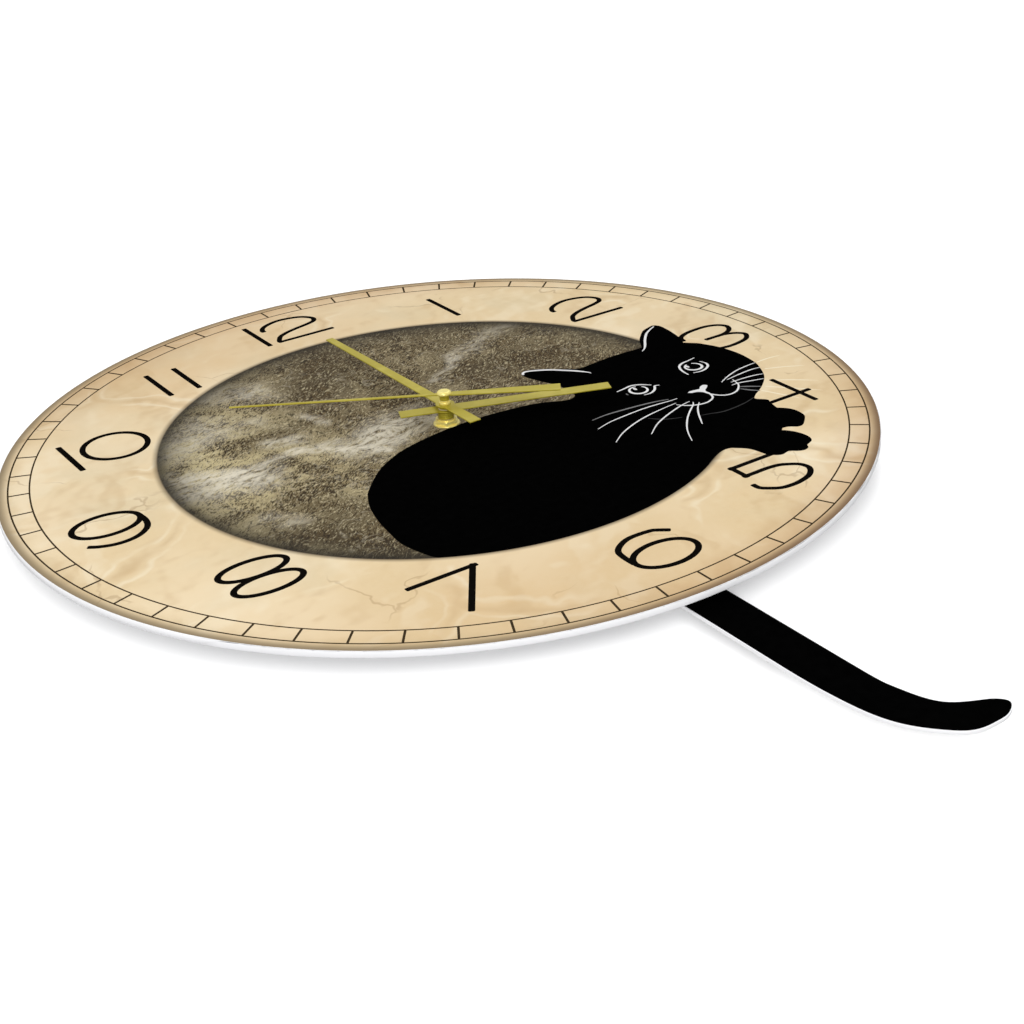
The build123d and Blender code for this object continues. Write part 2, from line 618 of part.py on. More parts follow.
# ---------------------------------------------------------------- every node, hung on the wall
PIECES = [
    dial_board, rubber_gasket, washer, hex_nut, spindle_bush,
    case_front, case_back, gear_plate, plate_screws,
    coil_core, stator, stator_screws, coil_bobbin, coil_winding,
    circuit_board, driver_chip, quartz_crystal, contact_plate, contact_spring, pendulum_lead,
    battery, rotor_magnet, rotor_pinion, fifth_wheel, fifth_pinion,
    second_wheel, second_arbor, second_hand, second_hand_cap, third_wheel, third_pinion,
    centre_wheel, minute_pipe, minute_hand, minute_nut, motion_wheel, hour_wheel, hour_hand, set_knob,
    pendulum_pivot_pin, pendulum_bobbin, pendulum_winding,
    pendulum_arm, pendulum_magnet, tail_clip, tail_board,
]


def hang(shape):
    return Pos(0, 0, -HANGER_HEIGHT) * Rot(90, 0, 0) * shape


os.makedirs("parts", exist_ok=True)
for make in PIECES:
    made = make()
    solids = made if isinstance(made, list) else made.solids()
    hung = [hang(solid) for solid in solids]
    node = hung[0] if len(hung) == 1 else Compound(children=hung)
    export_step(node, f"parts/{make.__name__}.step")
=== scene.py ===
import json
import math
import bmesh
import bpy
from mathutils import Euler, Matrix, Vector
from mathutils.geometry import delaunay_2d_cdt


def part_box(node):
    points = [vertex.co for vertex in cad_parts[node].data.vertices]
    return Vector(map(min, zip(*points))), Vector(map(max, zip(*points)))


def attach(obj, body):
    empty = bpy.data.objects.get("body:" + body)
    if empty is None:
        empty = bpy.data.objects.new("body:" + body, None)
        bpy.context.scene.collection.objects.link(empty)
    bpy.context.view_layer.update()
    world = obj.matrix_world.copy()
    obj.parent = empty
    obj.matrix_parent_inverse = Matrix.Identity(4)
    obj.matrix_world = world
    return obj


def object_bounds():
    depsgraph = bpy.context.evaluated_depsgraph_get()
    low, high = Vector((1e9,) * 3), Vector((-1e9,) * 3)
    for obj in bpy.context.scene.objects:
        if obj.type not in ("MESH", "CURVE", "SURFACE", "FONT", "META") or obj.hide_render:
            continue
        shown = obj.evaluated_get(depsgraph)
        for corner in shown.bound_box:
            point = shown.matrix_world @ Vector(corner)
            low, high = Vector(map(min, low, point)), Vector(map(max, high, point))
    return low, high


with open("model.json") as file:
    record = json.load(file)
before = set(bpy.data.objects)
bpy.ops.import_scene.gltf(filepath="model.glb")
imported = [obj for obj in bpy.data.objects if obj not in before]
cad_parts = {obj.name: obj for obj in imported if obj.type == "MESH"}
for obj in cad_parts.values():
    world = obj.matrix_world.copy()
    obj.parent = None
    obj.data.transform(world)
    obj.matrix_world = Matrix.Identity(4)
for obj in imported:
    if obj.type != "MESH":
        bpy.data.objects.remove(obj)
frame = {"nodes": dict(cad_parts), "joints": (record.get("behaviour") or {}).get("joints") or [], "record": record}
cad_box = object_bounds()

# The artwork is drawn in the dial's own view, in millimetres: x to the right and y up from the
# spindle. height is how far in front of a printed face a point lies.
MM = 0.001
SPINDLE = Vector(next(j["pos_m"] for j in frame["joints"] if j["name"] == "minute_spin"))
DIAL_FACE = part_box("dial_board")[0].y
TAIL_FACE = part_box("tail_board")[0].y
DIAL_RADIUS = (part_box("dial_board")[1].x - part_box("dial_board")[0].x) / 2 / MM
MARBLE_RADIUS = 98.4
TRACK_OUTER, TRACK_INNER = 146.1, 139.3
ROUND_STEPS = 240

# heights of the printed layers, mm
PRINT_FILM = 0.03
INK_FILM = 0.015
LAYER_STEP = 0.0004

# vertices of a CAD mesh that lie closer than this are one, mm
WELD_GAP = 0.002

# how a drawn line ends. A tip that thins reaches the full width after one part in TAPER of the line,
# and a short, narrow step rounds each end, its length and width in shares of the line's width.
TAPER = 3
CAP_LENGTH, CAP_WIDTH = 0.16, 0.62


def at(x, y, height=0.0, face=DIAL_FACE):
    """A point of the dial's view, as a place in the frame."""
    return Vector((SPINDLE.x + x * MM, face - height * MM, SPINDLE.z + y * MM))


def rgb(red, green, blue):
    """A linear colour from screen values of 0 to 255."""
    def linear(value):
        value /= 255
        return value / 12.92 if value <= 0.04045 else ((value + 0.055) / 1.055) ** 2.4
    return (linear(red), linear(green), linear(blue), 1.0)


# ---------------------------------------------------------------- lines and outlines
def smooth(points, steps=6):
    """An open curve through every point."""
    ends = [points[0], *points, points[-1]]
    curve = []
    for a, b, c, d in zip(ends, ends[1:], ends[2:], ends[3:]):
        for k in range(steps):
            t = k / steps
            curve.append(tuple(
                0.5 * (2 * q + (r - p) * t + (2 * p - 5 * q + 4 * r - s) * t * t
                       + (3 * q - p - 3 * r + s) * t ** 3)
                for p, q, r, s in zip(a, b, c, d)))
    curve.append(tuple(points[-1]))
    return curve


def chain(*stretches):
    """Smooth stretches that meet at corners: each one starts where the last one ended."""
    line = smooth(stretches[0])
    for stretch in stretches[1:]:
        line += smooth([line[-1], *stretch])[1:]
    return line


def arc(x, y, across, up, start=0.0, end=360.0, steps=48):
    """Part of an ellipse, from one angle to another in degrees, anticlockwise from three o'clock."""
    angles = [math.radians(start + (end - start) * k / steps) for k in range(steps + 1)]
    return [(x + across * math.cos(a), y + up * math.sin(a)) for a in angles]


def moved(points, x, y):
    return [(px + x, py + y) for px, py in points]


def sides(points, widths, closed):
    """The two edges of a line drawn with the given widths."""
    count = len(points)
    left, right = [], []
    for k, (x, y) in enumerate(points):
        before = points[(k - 1) % count] if closed or k else points[0]
        after = points[(k + 1) % count] if closed or k < count - 1 else points[-1]
        along = Vector((after[0] - before[0], after[1] - before[1])).normalized()
        half = widths[k] / 2
        left.append((x - along.y * half, y + along.x * half))
        right.append((x + along.y * half, y - along.x * half))
    return left, right


class Film:
    """A thin printed layer."""

    def __init__(self, name, height, face=DIAL_FACE, thickness=INK_FILM):
        self.name, self.height, self.face, self.thickness = name, height, face, thickness
        self.mesh = bmesh.new()

    def spots(self, points):
        return [self.mesh.verts.new(at(x, y, self.height, self.face)) for x, y in points]

    def strip(self, left, right, closed=False):
        a, b = self.spots(left), self.spots(right)
        last = len(a) if closed else len(a) - 1
        for k in range(last):
            n = (k + 1) % len(a)
            self.mesh.faces.new((a[k], b[k], b[n], a[n]))
        self.height += LAYER_STEP

    def ring(self, x, y, across, up, width, steps=72):
        self.stroke(arc(x, y, across, up, steps=steps)[:-1], width, closed=True)

    def stroke(self, points, width, closed=False, tips=(1.0, 1.0)):
        """A line of one width, or thinned towards its two tips."""
        count = len(points)
        widths = []
        for k in range(count):
            t = k / (count - 1)
            near_start = tips[0] + (1 - tips[0]) * t * TAPER
            near_end = tips[1] + (1 - tips[1]) * (1 - t) * TAPER
            widths.append(width * min(1.0, near_start, near_end))
        if not closed:
            points, widths = self.capped(points, widths)
        left, right = sides(points, widths, closed)
        self.strip(left, right, closed)

    @staticmethod
    def capped(points, widths):
        """Adds a narrower step at each end, so that the line ends rounded."""
        def beyond(end, inner, width):
            step = (Vector(end) - Vector(inner)).normalized() * width * CAP_LENGTH
            return tuple(Vector(end) + step)

        first = beyond(points[0], points[1], widths[0])
        last = beyond(points[-1], points[-2], widths[-1])
        return [first, *points, last], [widths[0] * CAP_WIDTH, *widths, widths[-1] * CAP_WIDTH]

    def shape(self, outline):
        """A filled outline."""
        inside_only, nearest = 1, 1e-4
        loop = list(range(len(outline)))
        flat = [Vector(point) for point in outline]
        spots, _, faces, *_ = delaunay_2d_cdt(flat, [], [loop], inside_only, nearest)
        corners = self.spots([tuple(p) for p in spots])
        for face in faces:
            self.mesh.faces.new([corners[k] for k in face])
        self.height += LAYER_STEP

    def finish(self, material, body):
        made = bmesh.ops.extrude_face_region(self.mesh, geom=self.mesh.faces[:])
        raised = [v for v in made["geom"] if isinstance(v, bmesh.types.BMVert)]
        bmesh.ops.translate(self.mesh, verts=raised, vec=(0, -self.thickness * MM, 0))
        bmesh.ops.recalc_face_normals(self.mesh, faces=self.mesh.faces[:])
        data = bpy.data.meshes.new(self.name)
        self.mesh.to_mesh(data)
        self.mesh.free()
        return add_piece(bpy.data.objects.new(self.name, data), material, body)


def add_piece(piece, material, body):
    """Puts a finished piece in the scene, riding on a body."""
    bpy.context.scene.collection.objects.link(piece)
    piece.data.materials.clear()
    piece.data.materials.append(material)
    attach(piece, body)
    return piece


# ---------------------------------------------------------------- materials
class Paint:
    """One node material. Its patterns are worked out in millimetres from the spindle."""

    def __init__(self, name, **surface):
        self.material = bpy.data.materials.new(name)
        self.material.use_nodes = True
        self.tree = self.material.node_tree
        self.surface = self.tree.nodes["Principled BSDF"]
        for socket, value in surface.items():
            self.surface.inputs[socket.replace("_", " ")].default_value = value
        where = self.node("ShaderNodeTexCoord").outputs["Object"]
        where = self.vector("SUBTRACT", where, tuple(SPINDLE))
        self.point = self.scaled(where, 1 / MM)

    def node(self, kind, **settings):
        made = self.tree.nodes.new(kind)
        for key, value in settings.items():
            setattr(made, key, value)
        return made

    def feed(self, socket, value):
        if isinstance(value, bpy.types.NodeSocket):
            self.tree.links.new(value, socket)
        else:
            socket.default_value = value

    def vector(self, operation, *values):
        made = self.node("ShaderNodeVectorMath", operation=operation)
        for socket, value in zip(made.inputs, values):
            self.feed(socket, value)
        return made.outputs["Value" if operation in ("LENGTH", "DOT_PRODUCT") else "Vector"]

    def scaled(self, vector, factor):
        made = self.node("ShaderNodeVectorMath", operation="SCALE")
        self.feed(made.inputs[0], vector)
        self.feed(made.inputs["Scale"], factor)
        return made.outputs["Vector"]

    def math(self, operation, *values):
        made = self.node("ShaderNodeMath", operation=operation)
        for socket, value in zip(made.inputs, values):
            self.feed(socket, value)
        return made.outputs["Value"]

    def part(self, vector, axis):
        made = self.node("ShaderNodeSeparateXYZ")
        self.feed(made.inputs[0], vector)
        return made.outputs[axis]

    def fade(self, value, low, high):
        """0 below low, 1 above high, and smooth between; low may be the larger."""
        made = self.node("ShaderNodeMapRange", interpolation_type="SMOOTHSTEP")
        flipped = low > high
        self.feed(made.inputs["Value"], value)
        made.inputs["From Min"].default_value = min(low, high)
        made.inputs["From Max"].default_value = max(low, high)
        made.inputs["To Min"].default_value = 1.0 if flipped else 0.0
        made.inputs["To Max"].default_value = 0.0 if flipped else 1.0
        return made.outputs["Result"]

    def noise(self, size, detail=3.0, rough=0.5, where=None):
        """Noise with features of about the given size in millimetres."""
        made = self.node("ShaderNodeTexNoise")
        self.feed(made.inputs["Vector"], where or self.point)
        made.inputs["Scale"].default_value = 1 / size
        made.inputs["Detail"].default_value = detail
        made.inputs["Roughness"].default_value = rough
        return made.outputs["Fac"]

    def cells(self, size, feature="F1", where=None):
        made = self.node("ShaderNodeTexVoronoi", feature=feature)
        self.feed(made.inputs["Vector"], where or self.point)
        made.inputs["Scale"].default_value = 1 / size
        return made

    def warped(self, size, amount, where=None):
        """The place, pushed about by noise, so that patterns drawn from it wander."""
        where = where or self.point
        made = self.node("ShaderNodeTexNoise")
        self.feed(made.inputs["Vector"], where)
        made.inputs["Scale"].default_value = 1 / size
        made.inputs["Detail"].default_value = 3.0
        push = self.vector("SUBTRACT", made.outputs["Color"], (0.5, 0.5, 0.5))
        return self.vector("ADD", where, self.scaled(push, amount))

    def turned(self, degrees, stretch, where=None):
        """The place, turned about the dial's axis and squeezed, for a slanting grain."""
        made = self.node("ShaderNodeMapping", vector_type="TEXTURE")
        self.feed(made.inputs["Vector"], where or self.point)
        made.inputs["Rotation"].default_value = (0, math.radians(-degrees), 0)
        made.inputs["Scale"].default_value = stretch
        return made.outputs["Vector"]

    def mix(self, factor, a, b, blend="MIX"):
        made = self.node("ShaderNodeMix", data_type="RGBA", blend_type=blend)
        self.feed(made.inputs["Factor"], factor)
        # of the sockets named A and B, the sixth and seventh are the coloured ones
        self.feed(made.inputs[6], a)
        self.feed(made.inputs[7], b)
        return made.outputs[2]

    def over(self, colour, pattern, strength, top):
        """The colour with another one over it, as strong as the pattern times the strength."""
        return self.mix(self.math("MULTIPLY", pattern, strength), colour, top)

    def near(self, start, end, width, where):
        """1 on the line between two points of the dial's view, fading to 0 at width from it."""
        a, b = Vector((start[0], 0, start[1])), Vector((end[0], 0, end[1]))
        along = b - a
        offset = self.vector("SUBTRACT", where, tuple(a))
        offset = self.vector("MULTIPLY", offset, (1, 0, 1))
        reach = self.vector("DOT_PRODUCT", offset, tuple(along / along.length_squared))
        reach = self.math("MINIMUM", self.math("MAXIMUM", reach, 0.0), 1.0)
        nearest = self.scaled(tuple(along), reach)
        gap = self.vector("LENGTH", self.vector("SUBTRACT", offset, nearest))
        return self.fade(gap, width, 0.0)

    def bump(self, height, depth, strength=1.0):
        """Relief of the given depth in millimetres."""
        made = self.node("ShaderNodeBump")
        self.feed(made.inputs["Height"], height)
        made.inputs["Distance"].default_value = depth * MM
        made.inputs["Strength"].default_value = strength
        self.tree.links.new(made.outputs["Normal"], self.surface.inputs["Normal"])

    def colour(self, value):
        self.feed(self.surface.inputs["Base Color"], value)

    def rough(self, low, high, pattern):
        made = self.node("ShaderNodeMapRange")
        self.feed(made.inputs["Value"], pattern)
        made.inputs["To Min"].default_value = low
        made.inputs["To Max"].default_value = high
        self.tree.links.new(made.outputs["Result"], self.surface.inputs["Roughness"])


def ink(name, colour, worn):
    """Flat screen ink: nearly one colour, with a faint cloudiness and an eggshell surface."""
    paint = Paint(name, Specular_IOR_Level=0.0)
    cloud = paint.noise(3.0, detail=5)
    paint.colour(paint.mix(cloud, rgb(*colour), rgb(*worn)))
    paint.rough(0.7, 0.9, cloud)
    paint.bump(paint.noise(0.25, detail=2), 0.01, 0.2)
    return paint.material


def parchment_colour(paint, radius):
    """Old paper: warm patches, fine fibres, folds with a painted highlight on one side and painted shade on the
    other, and hair cracks.
    """
    patches = paint.noise(60, detail=3)
    colour = paint.mix(paint.fade(patches, 0.35, 0.65), rgb(229, 205, 162), rgb(240, 219, 182))
    warm = paint.fade(paint.noise(38, detail=4, where=paint.warped(30, 20)), 0.5, 0.72)
    colour = paint.over(colour, warm, 0.5, rgb(228, 198, 152))
    greyed = paint.fade(paint.noise(46, detail=3, where=paint.warped(24, 18)), 0.5, 0.66)
    colour = paint.over(colour, greyed, 0.4, rgb(217, 203, 170))
    fibres = paint.fade(paint.noise(2.2, detail=8, rough=0.65), 0.3, 0.7)
    colour = paint.over(colour, fibres, 0.16, rgb(240, 222, 188))

    # the same folded surface read twice, a little apart, gives each fold a painted highlight on one side and
    # painted shade on the other
    def folds(where):
        wandering = paint.warped(34, 26, where)
        plates = paint.cells(46, where=wandering).outputs["Distance"]
        rumples = paint.noise(30, detail=2.5, rough=0.45, where=wandering)
        return paint.math("ADD", plates, rumples)
    shifted = paint.vector("ADD", paint.point, (1.5, 0, -1.5))
    slope = paint.math("SUBTRACT", folds(paint.point), folds(shifted))
    lit, shaded = paint.fade(slope, 0.01, 0.09), paint.fade(slope, -0.015, -0.10)
    colour = paint.over(colour, lit, 0.45, rgb(246, 231, 200))
    colour = paint.over(colour, shaded, 0.36, rgb(204, 173, 127))
    # and a few long folds that stand out, with painted shade along each fold and a painted highlight next to it
    long_folds = paint.cells(72, "DISTANCE_TO_EDGE", paint.warped(40, 40)).outputs["Distance"]
    broken = paint.fade(paint.noise(34, detail=3), 0.46, 0.6)
    fold_shade = paint.math("MULTIPLY", paint.fade(long_folds, 0.035, 0.0), broken)
    colour = paint.over(colour, fold_shade, 0.45, rgb(203, 174, 132))
    fold_highlight = paint.fade(paint.math("ABSOLUTE", paint.math("SUBTRACT", long_folds, 0.05)), 0.02, 0.0)
    fold_highlight = paint.math("MULTIPLY", fold_highlight, broken)
    colour = paint.over(colour, fold_highlight, 0.5, rgb(248, 236, 208))

    cracks = paint.cells(46, "DISTANCE_TO_EDGE", paint.warped(16, 22)).outputs["Distance"]
    patchy = paint.fade(paint.noise(26, detail=2), 0.52, 0.62)
    cracks = paint.math("MULTIPLY", paint.fade(cracks, 0.012, 0.002), patchy)
    colour = paint.over(colour, cracks, 0.4, rgb(164, 134, 96))

    # age has browned the sheet towards its top and its foot, left of the middle
    ends = paint.fade(paint.math("ABSOLUTE", paint.part(paint.point, "Z")), 60, 125)
    ends = paint.math("MULTIPLY", ends, paint.fade(paint.part(paint.point, "X"), 60, -20))
    colour = paint.over(colour, ends, 0.35, rgb(206, 172, 124))
    # and the rim, most of all at the top and along the lower right
    wander = paint.math("MULTIPLY", paint.math("SUBTRACT", paint.noise(9, detail=4), 0.5), 9.0)
    loose = paint.math("ADD", radius, wander)
    high = paint.fade(paint.part(paint.point, "Z"), 60, 140)
    low = paint.fade(paint.vector("DOT_PRODUCT", paint.point, (0.55, 0, -0.84)), 60, 150)
    side = paint.math("MAXIMUM", high, low)
    browned = paint.math("MULTIPLY", paint.fade(loose, 128, 152), side)
    colour = paint.over(colour, browned, 0.5, rgb(190, 146, 104))
    colour = paint.over(colour, paint.fade(loose, 141, 150), 0.35, rgb(186, 160, 116))
    # the outermost band is partly the print's browned edge and partly painted shade, as if the edge were rounded,
    # darker along the lower right
    rim = paint.fade(radius, 145.6, 149.6)
    rim_colour = paint.mix(low, rgb(142, 125, 98), rgb(124, 98, 72))
    colour = paint.over(colour, rim, 0.95, rim_colour)
    # the print darkens softly where it meets the marble
    return paint.over(colour, paint.fade(radius, 100.6, 98.2), 0.75, rgb(90, 76, 56))


# the marble's darker streaks and its veins, each as two ends, a width in mm and a strength
STONE_SHADES = (
    ((-24, 54), (-4, 84), 24, 0.9), ((14, 92), (45, 80), 12, 0.5),
    ((34, 34), (66, 22), 24, 0.85), ((-60, 28), (-40, 34), 11, 0.6),
    ((-66, -20), (-44, -56), 16, 0.6), ((22, 14), (40, 12), 10, 0.6),
    ((-76, -44), (-54, -74), 24, 0.95), ((-82, -22), (-62, -44), 22, 0.45),
)
STONE_VEINS = (
    ((-92, 19), (-72, 9), 10, 1.0), ((-74, 12), (-38, 13), 5, 0.55),
    ((-52, 14), (-28, -4), 5, 0.75), ((-34, 2), (-6, 14), 15, 0.65),
    ((-26, 4), (-4, 4), 11, 0.55), ((-76, 41), (-52, 46), 8, 0.3),
    ((-86, 40), (-68, 54), 14, 0.6), ((-56, 26), (-46, 22), 6, 0.6),
    ((18, 36), (36, 51), 4, 0.45), ((34, 50), (68, 68), 7, 0.35),
    ((-84, -26), (-74, -32), 7, 0.3), ((-60, 84), (-40, 70), 14, 0.5),
    ((-36, 40), (-32, 30), 4, 0.5), ((-92, 6), (-68, 3), 12, 0.85),
)
# its two grains of dark flecks: size in mm, slant in degrees, squeeze and strength
STONE_FLECKS = ((1.1, 42, (2.3, 1, 0.5), 0.95), (0.65, 52, (1.9, 1, 0.6), 0.9))


def marble_colour(paint, radius):
    """Grey-brown marble: slanting dark flecks over clouds, pale veins, and a shaded edge."""
    drift = paint.warped(18, 12)
    clouds = paint.fade(paint.noise(24, detail=5, where=drift), 0.38, 0.62)
    colour = paint.mix(clouds, rgb(105, 92, 66), rgb(137, 124, 94))
    # the stone pales towards the left
    wander = paint.math("MULTIPLY", paint.noise(30, detail=3), 60.0)
    across = paint.math("ADD", paint.part(drift, "X"), wander)
    pale = paint.math("MULTIPLY", paint.fade(across, 14, -60), 0.9)
    colour = paint.mix(pale, colour, rgb(203, 188, 144))
    for start, end, width, strength in STONE_SHADES:
        shade = paint.near(start, end, width, drift)
        colour = paint.over(colour, shade, strength, rgb(68, 55, 34))

    # flecks lie in crowds, with smoother stone between
    crowd = paint.fade(paint.noise(15, detail=6, rough=0.65, where=drift), 0.42, 0.58)
    colour = paint.over(colour, crowd, 0.46, rgb(108, 88, 53))
    threshold = paint.math("SUBTRACT", 0.625, paint.math("MULTIPLY", crowd, 0.115))
    for size, slant, squeeze, strength in STONE_FLECKS:
        grain = paint.noise(size, detail=2.5, rough=0.6, where=paint.turned(slant, squeeze))
        dark = paint.fade(paint.math("SUBTRACT", grain, threshold), 0.0, 0.025)
        colour = paint.over(colour, dark, strength, rgb(46, 33, 14))
    # short slanting cracks run through the flecks
    slanted = paint.warped(2.6, 2.6, paint.turned(44, (2.0, 1, 0.7)))
    net = paint.fade(paint.cells(3.4, "DISTANCE_TO_EDGE", slanted).outputs["Distance"], 0.075, 0.03)
    whole = paint.fade(paint.noise(2.2, detail=4, rough=0.6, where=drift), 0.5, 0.56)
    cracks = paint.math("MULTIPLY", net, whole)
    colour = paint.over(colour, cracks, 0.85, rgb(38, 27, 10))
    chips = paint.noise(1.0, detail=3, rough=0.7, where=paint.turned(38, (2.0, 1, 0.6), drift))
    chips = paint.math("MULTIPLY", paint.fade(chips, 0.52, 0.66), 0.7)
    colour = paint.mix(chips, colour, rgb(206, 193, 156))

    torn = paint.noise(2.6, detail=8, rough=0.75, where=paint.turned(14, (2.6, 1, 0.8), drift))
    torn = paint.fade(torn, 0.36, 0.58)
    for start, end, width, strength in STONE_VEINS:
        vein = paint.math("MULTIPLY", paint.near(start, end, width, drift), torn)
        colour = paint.over(colour, vein, strength, rgb(222, 214, 194))
    hair = paint.math("ABSOLUTE", paint.math("SUBTRACT", paint.noise(30, detail=5, where=drift), 0.5))
    hair = paint.math("MULTIPLY", paint.fade(hair, 0.009, 0.0), torn)
    colour = paint.over(colour, hair, 0.35, rgb(190, 181, 158))

    shade = paint.fade(radius, 80, MARBLE_RADIUS + 1.5)
    colour = paint.over(colour, shade, 0.7, rgb(56, 50, 38))
    return paint.over(colour, paint.fade(radius, 93, 98.6), 0.7, rgb(22, 18, 12))


def dial_print_material():
    paint = Paint("dial_print", Specular_IOR_Level=0.15)
    flat = paint.vector("MULTIPLY", paint.point, (1, 0, 1))
    radius = paint.vector("LENGTH", flat)
    inside = paint.fade(radius, MARBLE_RADIUS + 0.35, MARBLE_RADIUS - 0.35)
    paint.colour(paint.mix(inside, parchment_colour(paint, radius), marble_colour(paint, radius)))
    texture = paint.noise(0.5, detail=4)
    paint.rough(0.62, 0.8, texture)
    paint.bump(texture, 0.02, 0.25)
    return paint.material


def board_material(name):
    """Foamed white board: a satin skin with faint scuffs and a fine cellular grain."""
    paint = Paint(name, Specular_IOR_Level=0.3)
    scuffs = paint.fade(paint.noise(7, detail=6, rough=0.7), 0.52, 0.7)
    paint.colour(paint.over(rgb(250, 250, 252), scuffs, 0.5, rgb(242, 242, 241)))
    cells = paint.cells(0.5).outputs["Distance"]
    paint.rough(0.5, 0.68, scuffs)
    paint.bump(cells, 0.03, 0.3)
    return paint.material


def plastic(name, colour, mottled, low=0.4, high=0.55, grain=0.35, depth=0.03):
    """Moulded plastic with a spark-eroded grain and slightly uneven gloss."""
    paint = Paint(name, Specular_IOR_Level=0.4)
    cloud = paint.noise(6, detail=4)
    skin = paint.noise(grain, detail=2, rough=0.6)
    paint.colour(paint.over(rgb(*colour), cloud, 0.6, rgb(*mottled)))
    paint.rough(low, high, paint.math("MULTIPLY", paint.math("ADD", cloud, skin), 0.5))
    paint.bump(skin, depth, 0.5)
    return paint.material


def metal(name, colour, tarnish, low, high, grain=0.3, stretch=(1, 1, 1), depth=0.004, metallic=1.0):
    """Metal with a drawn or turned grain and a thin patchy tarnish."""
    paint = Paint(name, Metallic=metallic)
    cloud = paint.fade(paint.noise(2.4, detail=5, rough=0.6), 0.4, 0.75)
    lines = paint.noise(grain, detail=3, where=paint.turned(0, stretch))
    paint.colour(paint.over(rgb(*colour), cloud, 0.55, rgb(*tarnish)))
    paint.rough(low, high, paint.math("MULTIPLY", paint.math("ADD", cloud, lines), 0.5))
    paint.bump(lines, depth, 0.4)
    return paint.material


def hand_gold():
    """Olive-gold lacquer over brushed aluminium, paler where it has rubbed thin."""
    paint = Paint("hand_gold", Metallic=0.4, Coat_Weight=0.12, Coat_Roughness=0.3)
    streaks = paint.noise(0.5, detail=4, rough=0.6, where=paint.turned(20, (5, 1, 0.8)))
    rubbed = paint.fade(paint.noise(9, detail=5), 0.45, 0.7)
    colour = paint.mix(streaks, rgb(166, 152, 30), rgb(194, 179, 48))
    paint.colour(paint.over(colour, rubbed, 0.5, rgb(208, 195, 84)))
    paint.rough(0.38, 0.52, streaks)
    paint.bump(streaks, 0.01, 0.3)
    return paint.material


def battery_sleeve():
    """A shrunk plastic sleeve in two plain colours, over a steel can with bare ends."""
    paint = Paint("battery_sleeve", Coat_Weight=0.3, Coat_Roughness=0.12)
    low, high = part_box("battery")
    along = paint.part(paint.point, "X")
    left, right = (low.x - SPINDLE.x) / MM, (high.x - SPINDLE.x) / MM
    scuffs = paint.fade(paint.noise(1.6, detail=7, rough=0.7), 0.56, 0.72)
    body = paint.over(rgb(34, 52, 92), scuffs, 0.3, rgb(92, 108, 140))
    band = paint.fade(along, right - 15.0, right - 14.8)
    sleeve = paint.mix(band, body, rgb(176, 132, 62))
    stripe = paint.math("MULTIPLY", paint.fade(along, right - 16.6, right - 16.4),
                        paint.fade(along, right - 15.0, right - 15.2))
    sleeve = paint.mix(stripe, sleeve, rgb(214, 214, 210))
    bare = paint.math("MAXIMUM", paint.fade(along, right - 1.7, right - 1.5),
                      paint.fade(along, left + 0.7, left + 0.5))
    paint.colour(paint.mix(bare, sleeve, rgb(188, 188, 186)))
    paint.feed(paint.surface.inputs["Metallic"], paint.math("MULTIPLY", bare, 0.9))
    paint.rough(0.25, 0.45, scuffs)
    paint.bump(paint.noise(2.0, detail=3), 0.04, 0.3)
    return paint.material


def winding():
    """Enamelled copper wire laid in turns along the spool's axis."""
    paint = Paint("copper", Metallic=0.9, Coat_Weight=0.4, Coat_Roughness=0.2)
    wire = 0.22
    around = paint.math("MULTIPLY", paint.part(paint.point, "X"), 2 * math.pi / wire)
    turns = paint.math("SINE", around)
    uneven = paint.noise(1.2, detail=4)
    # each turn's colour is a painted highlight over its crest and painted shade in the groove between turns
    colour = paint.mix(paint.fade(turns, -1, 1), rgb(120, 54, 24), rgb(206, 118, 66))
    paint.colour(paint.over(colour, uneven, 0.4, rgb(168, 82, 40)))
    paint.rough(0.25, 0.4, uneven)
    paint.bump(turns, 0.05, 0.6)
    return paint.material


def circuit_board():
    """Green solder mask with paler copper runs under it."""
    paint = Paint("circuit_board", Coat_Weight=0.3, Coat_Roughness=0.25)
    runs = paint.cells(2.6, "DISTANCE_TO_EDGE").outputs["Distance"]
    tracks = paint.fade(runs, 0.10, 0.07)
    weave = paint.noise(0.3, detail=2)
    mask = paint.mix(weave, rgb(16, 66, 34), rgb(24, 82, 44))
    paint.colour(paint.mix(tracks, mask, rgb(58, 122, 64)))
    paint.rough(0.35, 0.5, weave)
    paint.bump(tracks, 0.03, 0.5)
    return paint.material


FINISHES = {
    "printed_board": board_material("white_board"),
    "black_tail": board_material("tail_board"),
    "case_plastic": plastic("case_plastic", (24, 24, 25), (34, 34, 35), depth=0.05),
    "white_plastic": plastic("white_plastic", (226, 223, 212), (214, 208, 192), 0.3, 0.42, depth=0.01),
    "gear_plastic": plastic("gear_plastic", (226, 214, 176), (214, 199, 156), 0.3, 0.42, depth=0.01),
    "hand_gold": hand_gold(),
    "brass": metal("brass", (255, 240, 146), (240, 214, 100), 0.14, 0.28, 0.4, (1, 0.15, 1), metallic=0.35),
    "steel": metal("steel", (190, 190, 190), (160, 158, 152), 0.22, 0.4, 0.2, (6, 1, 1)),
    "copper": winding(),
    "circuit_board": circuit_board(),
    "resin": plastic("resin", (16, 16, 17), (28, 28, 30), 0.2, 0.35, 1.5, 0.05),
    "lead_film": plastic("lead_film", (176, 104, 34), (150, 82, 24), 0.25, 0.4, 0.8, 0.01),
    "magnet": metal("magnet", (84, 84, 88), (60, 60, 62), 0.3, 0.55, 0.25, depth=0.02),
    "rubber": plastic("rubber", (20, 20, 20), (32, 31, 30), 0.7, 0.85, 0.5, 0.04),
    "battery_sleeve": battery_sleeve(),
}


# node: how much its edges are broken, mm
EDGES = {
    "hour_hand": 0.08, "minute_hand": 0.08, "second_hand": 0.06, "hex_nut": 0.2, "washer": 0.12,
    "minute_nut": 0.15, "dial_board": 0.25, "tail_board": 0.2, "battery": 0.12,
}


